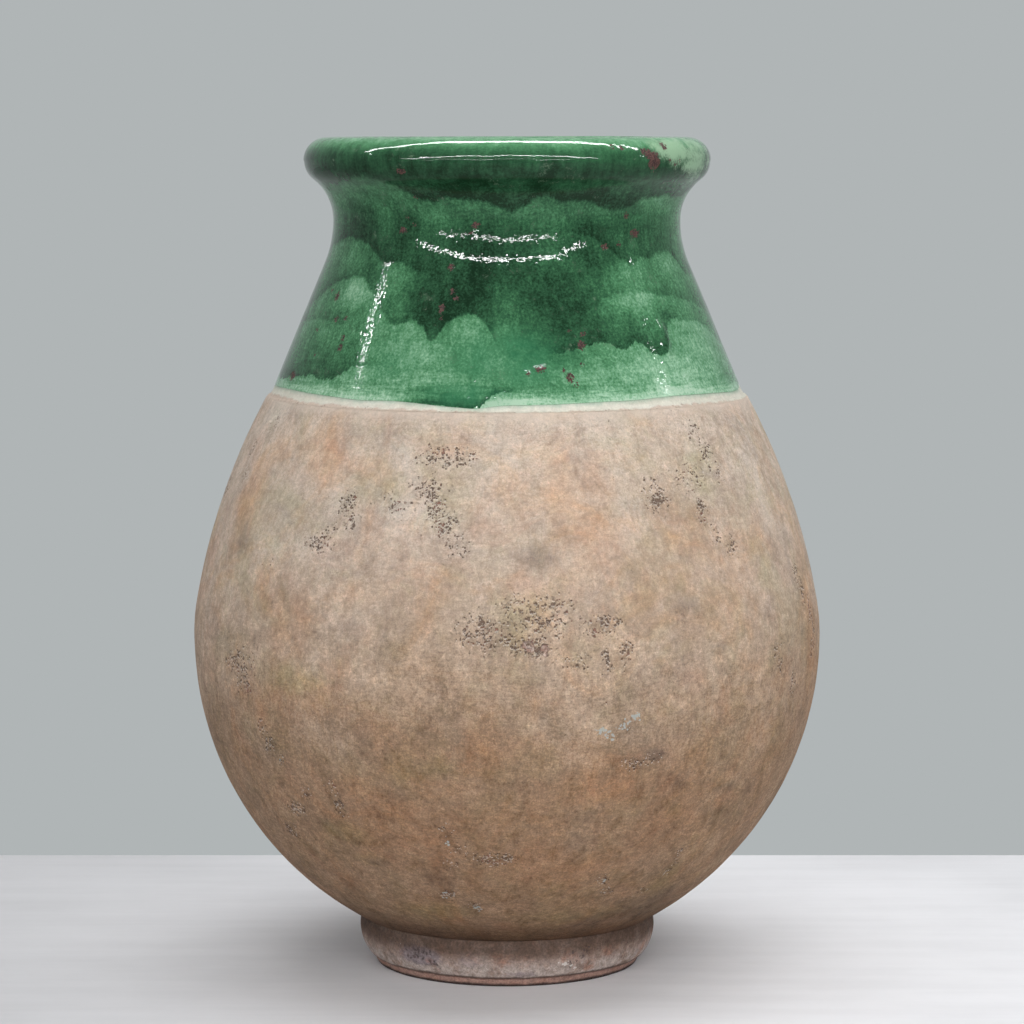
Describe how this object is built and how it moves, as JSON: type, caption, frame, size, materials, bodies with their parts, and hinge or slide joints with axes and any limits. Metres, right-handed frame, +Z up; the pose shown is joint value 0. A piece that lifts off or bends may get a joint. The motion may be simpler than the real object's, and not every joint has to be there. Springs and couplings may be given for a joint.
{
  "type": "olive jar",
  "caption": "Round-bellied earthenware storage jar with a turned foot, conical neck and thick rolled rim, green glaze over cream slip on the neck, bare belly and open mouth.",
  "frame": {"origin": "centre of the foot, on the floor", "axes": "+Z up along the jar's axis of turning; the pictured side faces -Y, with +X to its right"},
  "size_m": [0.53, 0.53, 0.7],
  "materials": {
    "terracotta": "matte weathered earthenware",
    "luting": "matte clay slip",
    "cream_slip": "matte cream slip",
    "green_glaze": "glossy copper-green glaze",
    "lining_glaze": "glossy honey glaze"
  },
  "bodies": {
    "root": {"base_slab": "terracotta", "foot_ring": "terracotta", "lower_belly": "terracotta", "upper_belly": "terracotta", "neck": "terracotta", "rolled_rim": "terracotta", "luting_slip": "luting", "slip_coat": "cream_slip", "green_glaze": "green_glaze", "lining_glaze": "lining_glaze"}
  },
  "joints": []
}
